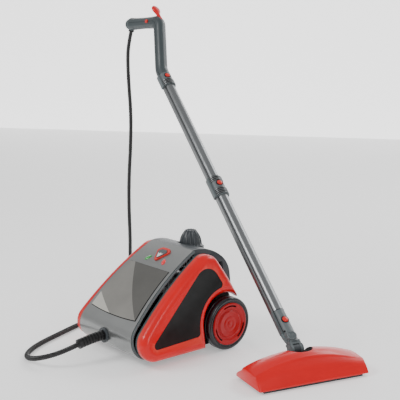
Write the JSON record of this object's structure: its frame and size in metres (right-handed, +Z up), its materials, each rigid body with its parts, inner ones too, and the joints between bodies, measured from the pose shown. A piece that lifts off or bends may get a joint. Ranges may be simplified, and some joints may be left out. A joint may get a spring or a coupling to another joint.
{
  "type": "steam mop",
  "caption": "Canister steam cleaner on wheels with a flexible hose, trigger handle, two-piece wand and a swivelling floor head.",
  "frame": {"origin": "middle of the box round everything but the hose and its cuff, on the floor", "axes": "+Z up, the canister faces -Y, +X runs from the handle's end to the floor head"},
  "size_m": [1.2205, 0.7823, 0.9279],
  "materials": {
    "body_grey": "satin moulded grey plastic",
    "panel_grey": "satin warm-grey plastic in flat facets",
    "red_gloss": "glossy red plastic",
    "dark_plastic": "fine-textured near-black plastic",
    "slate_plastic": "satin dark slate plastic",
    "trim_grey": "satin grey-green plastic band",
    "smoked_window": "smoked black plastic",
    "tube_grey": "satin grey plastic tube",
    "tyre_rubber": "moulded black rubber",
    "hose_rubber": "ribbed black rubber",
    "steel": "brushed steel",
    "alloy": "cast aluminium",
    "brass_metal": "turned brass",
    "board_green": "glass-fibre circuit board",
    "lamp_green": "green lamp lens",
    "lamp_red": "red lamp lens",
    "bristle": "nylon brush strip",
    "clear_line": "silicone steam tube"
  },
  "bodies": {
    "canister": {"chassis_base": "dark_plastic", "body_screws": "steel", "front_cover": "body_grey", "facet_panel": "panel_grey", "rear_hood": "dark_plastic", "rear_cover": "dark_plastic", "mains_inlet": "dark_plastic", "boiler_tank": "steel", "boiler_brackets": "dark_plastic", "heating_element": "alloy", "steam_valve": "brass_metal", "steam_pipe": "steel", "control_board": "board_green", "hose_socket": "dark_plastic", "switch_bezel": "red_gloss", "lamp_ready": "lamp_green", "lamp_power": "lamp_red", "wheel_axle": "steel", "side_panel_left": "red_gloss", "side_panel_right": "red_gloss", "side_window_left": "smoked_window", "side_window_right": "smoked_window", "side_trim_left": "trim_grey", "side_trim_right": "trim_grey", "hose_cuff": "hose_rubber", "hose": "hose_rubber"},
    "wheel_left": {"tyre_left": "tyre_rubber", "wheel_hub_left": "red_gloss"},
    "wheel_right": {"tyre_right": "tyre_rubber", "wheel_hub_right": "red_gloss"},
    "caster": {"caster_fork": "slate_plastic", "caster_axle": "steel"},
    "caster_roller": {"caster_wheel": "tyre_rubber"},
    "cap_plug": {"cap_core": "dark_plastic"},
    "filler_cap": {"cap_shell": "slate_plastic"},
    "rocker": {"power_switch": "slate_plastic"},
    "wand": {"handle_shell_left": "slate_plastic", "handle_shell_right": "slate_plastic", "handle_end_cap": "trim_grey", "handle_cuff": "hose_rubber", "handle_valve": "brass_metal", "trigger_pin": "steel", "upper_tube": "tube_grey", "lower_tube": "tube_grey", "tube_collar": "tube_grey", "connector": "tube_grey", "steam_line": "clear_line", "pitch_pin": "steel"},
    "trigger_lever": {"trigger": "red_gloss"},
    "lock": {"lock_button": "red_gloss"},
    "latch_handle": {"latch_button_handle": "red_gloss"},
    "latch_collar": {"latch_button_collar": "red_gloss"},
    "latch_connector": {"latch_button_connector": "red_gloss"},
    "yoke": {"neck_yoke": "dark_plastic"},
    "floor_head": {"head_cover": "red_gloss", "head_base": "dark_plastic", "head_screws": "steel", "steam_bar": "dark_plastic", "brush_strips": "bristle", "roll_pin": "steel"}
  },
  "joints": [
    {"name": "wheel_left_roll", "type": "hinge", "parent": "canister", "child": "wheel_left", "pos_m": [0.08591, -0.00589, 0.0717], "axis": [1, 0, 0], "continuous": true},
    {"name": "wheel_right_roll", "type": "hinge", "parent": "canister", "child": "wheel_right", "pos_m": [0.08591, -0.00589, 0.0717], "axis": [1, 0, 0], "continuous": true},
    {"name": "caster_swivel", "type": "hinge", "parent": "canister", "child": "caster", "pos_m": [0.08591, -0.21189, 0.018], "axis": [0, 0, 1], "continuous": true},
    {"name": "caster_roll", "type": "hinge", "parent": "caster", "child": "caster_roller", "pos_m": [0.08591, -0.20289, 0.014], "axis": [1, 0, 0], "continuous": true},
    {"name": "cap_lift", "type": "slide", "parent": "canister", "child": "cap_plug", "axis": [0, 0, 1], "range_m": [0, 0.008]},
    {"name": "cap_turn", "type": "hinge", "parent": "cap_plug", "child": "filler_cap", "pos_m": [0.08591, -0.00889, 0.257], "axis": [0, 0, 1], "range_deg": [0, 720]},
    {"name": "switch_rock", "type": "hinge", "parent": "canister", "child": "rocker", "pos_m": [0.08591, -0.11193, 0.24638], "axis": [1, 0, 0], "range_deg": [-8, 8]},
    {"name": "wand_push", "type": "slide", "parent": "canister", "child": "wand", "axis": [0.9673, -0.2538, 0], "range_m": [0, 0.1]},
    {"name": "trigger_pull", "type": "hinge", "parent": "wand", "child": "trigger_lever", "pos_m": [-0.41793, 0.27519, 0.87868], "axis": [-0.0371, -0.9618, 0.2713], "range_deg": [0, 10], "stiffness_Nm_per_rad": 0.2, "springref_deg": -8.59},
    {"name": "lock_press", "type": "slide", "parent": "wand", "child": "lock", "axis": [0.0371, 0.9618, -0.2713], "range_m": [0, 0.003], "stiffness_N_per_m": 150, "springref_m": -0.002},
    {"name": "latch_handle_press", "type": "slide", "parent": "wand", "child": "latch_handle", "axis": [-0.5888, 0.1545, -0.7934], "range_m": [0, 0.003], "stiffness_N_per_m": 150, "springref_m": -0.002},
    {"name": "latch_collar_press", "type": "slide", "parent": "wand", "child": "latch_collar", "axis": [-0.5888, 0.1545, -0.7934], "range_m": [0, 0.003], "stiffness_N_per_m": 150, "springref_m": -0.002},
    {"name": "latch_connector_press", "type": "slide", "parent": "wand", "child": "latch_connector", "axis": [-0.5888, 0.1545, -0.7934], "range_m": [0, 0.003], "stiffness_N_per_m": 150, "springref_m": -0.002},
    {"name": "head_pitch", "type": "hinge", "parent": "wand", "child": "yoke", "pos_m": [0.47621, 0.01001, 0.0609], "axis": [0.2538, 0.9673, 0], "range_deg": [-50, 30]},
    {"name": "head_roll", "type": "hinge", "parent": "yoke", "child": "floor_head", "pos_m": [0.47621, 0.01001, 0.03], "axis": [0.9673, -0.2538, 0], "range_deg": [-20, 20]}
  ],
  "couplings": [
    {"joint": "cap_turn", "follows": "cap_lift", "rad_per_m": 1570.8}
  ]
}
